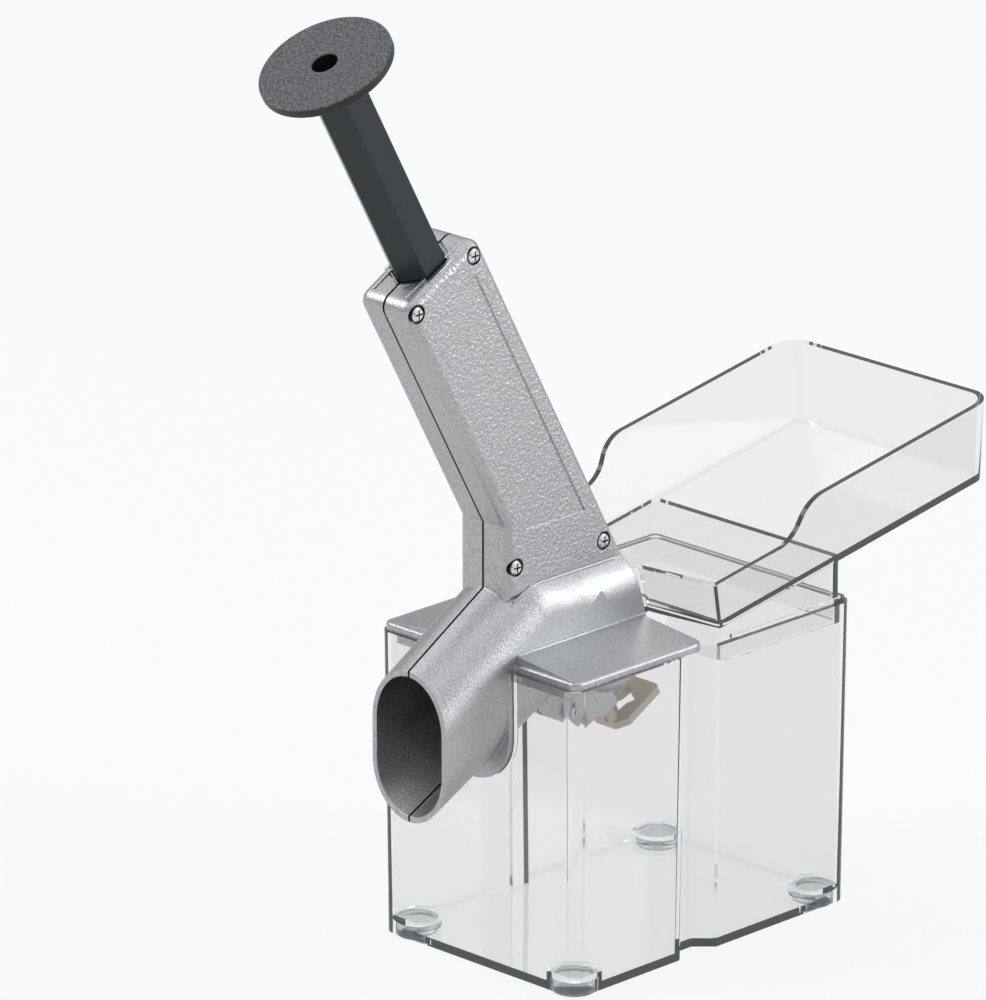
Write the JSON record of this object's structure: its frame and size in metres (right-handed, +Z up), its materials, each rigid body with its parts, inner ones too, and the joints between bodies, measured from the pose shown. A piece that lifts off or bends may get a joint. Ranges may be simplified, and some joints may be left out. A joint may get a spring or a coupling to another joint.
{
  "type": "cherry pitter",
  "caption": "Hand cherry pitter: a sprung push plunger in a leaning cast housing with a spout, on a clear pit container with a sloping clear cherry tray.",
  "frame": {"origin": "on the table, under the middle of the pit container's footprint", "axes": "+Z up; -Y towards the spout, +Y towards the cherry tray; +X the side with the screw heads"},
  "size_m": [0.0808, 0.2449, 0.2861],
  "materials": {
    "clear_san": "clear, polished",
    "die_cast_aluminium": "blasted, satin",
    "black_polypropylene": "fine grain",
    "taupe_polyethylene": "waxy satin",
    "white_acetal": "satin",
    "dark_rubber": "matt",
    "zinc_plated_steel": "bright zinc",
    "stainless_steel": "polished",
    "spring_steel": "drawn wire"
  },
  "bodies": {
    "container": {"container": "clear_san", "foot_front_left": "dark_rubber", "foot_front_right": "dark_rubber", "foot_rear_left": "dark_rubber", "foot_rear_right": "dark_rubber"},
    "housing": {"housing_right": "die_cast_aluminium", "housing_left": "die_cast_aluminium", "screw_top_front": "zinc_plated_steel", "screw_top_rear": "zinc_plated_steel", "screw_waist_front": "zinc_plated_steel", "screw_waist_rear": "zinc_plated_steel", "screw_lug": "zinc_plated_steel", "guide_bush": "white_acetal", "pit_wiper": "taupe_polyethylene"},
    "plunger": {"plunger_bar": "black_polypropylene", "palm_disc": "black_polypropylene", "pitting_rod": "stainless_steel", "rod_nut": "zinc_plated_steel", "return_spring": "spring_steel"},
    "tray": {"hopper_tray": "clear_san"}
  },
  "joints": [
    {"name": "housing_lift", "type": "slide", "parent": "container", "child": "housing", "axis": [0, 0, 1], "range_m": [0, 0.06]},
    {"name": "tray_lift", "type": "slide", "parent": "housing", "child": "tray", "axis": [0, 0, 1], "range_m": [0, 0.04]},
    {"name": "plunger_push", "type": "slide", "parent": "housing", "child": "plunger", "axis": [0, 0.4818, -0.8763], "range_m": [0, 0.066], "stiffness_N_per_m": 150, "springref_m": -0.03, "deforming": ["return_spring"]}
  ]
}
